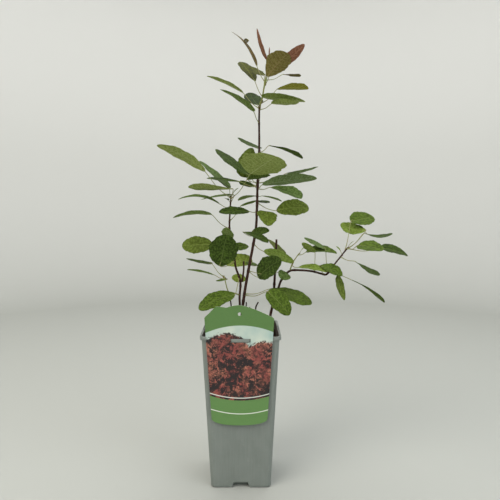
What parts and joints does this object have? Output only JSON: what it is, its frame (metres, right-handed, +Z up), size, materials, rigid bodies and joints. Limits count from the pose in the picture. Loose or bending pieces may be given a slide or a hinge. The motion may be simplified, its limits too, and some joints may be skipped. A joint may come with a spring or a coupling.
{
  "type": "potted smoke bush",
  "caption": "Young smoke bush with oval leaves on slender stems, in a tall tapering square nursery pot with a hanging plant card.",
  "frame": {"origin": "centre of the pot's flat underside", "axes": "+Z up along the pot, -Y towards the side of the pot that carries the card, +X to the right when facing the card"},
  "size_m": [0.3507, 0.1744, 0.6465],
  "materials": {
    "pot_plastic": "moulded satin, lightly dusty",
    "compost": "moist, crumbly, with bark pieces",
    "card_print": "printed thin card, semi-gloss",
    "bark": "young smooth bark, dull",
    "foliage": "leaf skin, softly waxy, paler below"
  },
  "bodies": {
    "root": {"pot": "pot_plastic", "compost": "compost", "plant_card": "card_print", "main_stem": "bark", "left_stem": "bark", "right_stem": "bark", "left_cut_spur": "bark", "arm_rise": "bark", "arm_reach": "bark", "cut_snag_left": "bark", "cut_snag_back": "bark", "cut_snag_front": "bark", "cut_snag_right": "bark", "low_leader_leaves": "foliage", "middle_leader_leaves": "foliage", "upper_leader_leaves": "foliage", "tip_leaves": "foliage", "left_low_leaves": "foliage", "left_top_leaves": "foliage", "low_twig_leaves": "foliage", "green_shoot_leaves": "foliage", "arm_twig_leaves": "foliage", "arm_end_leaves": "foliage"}
  },
  "joints": []
}
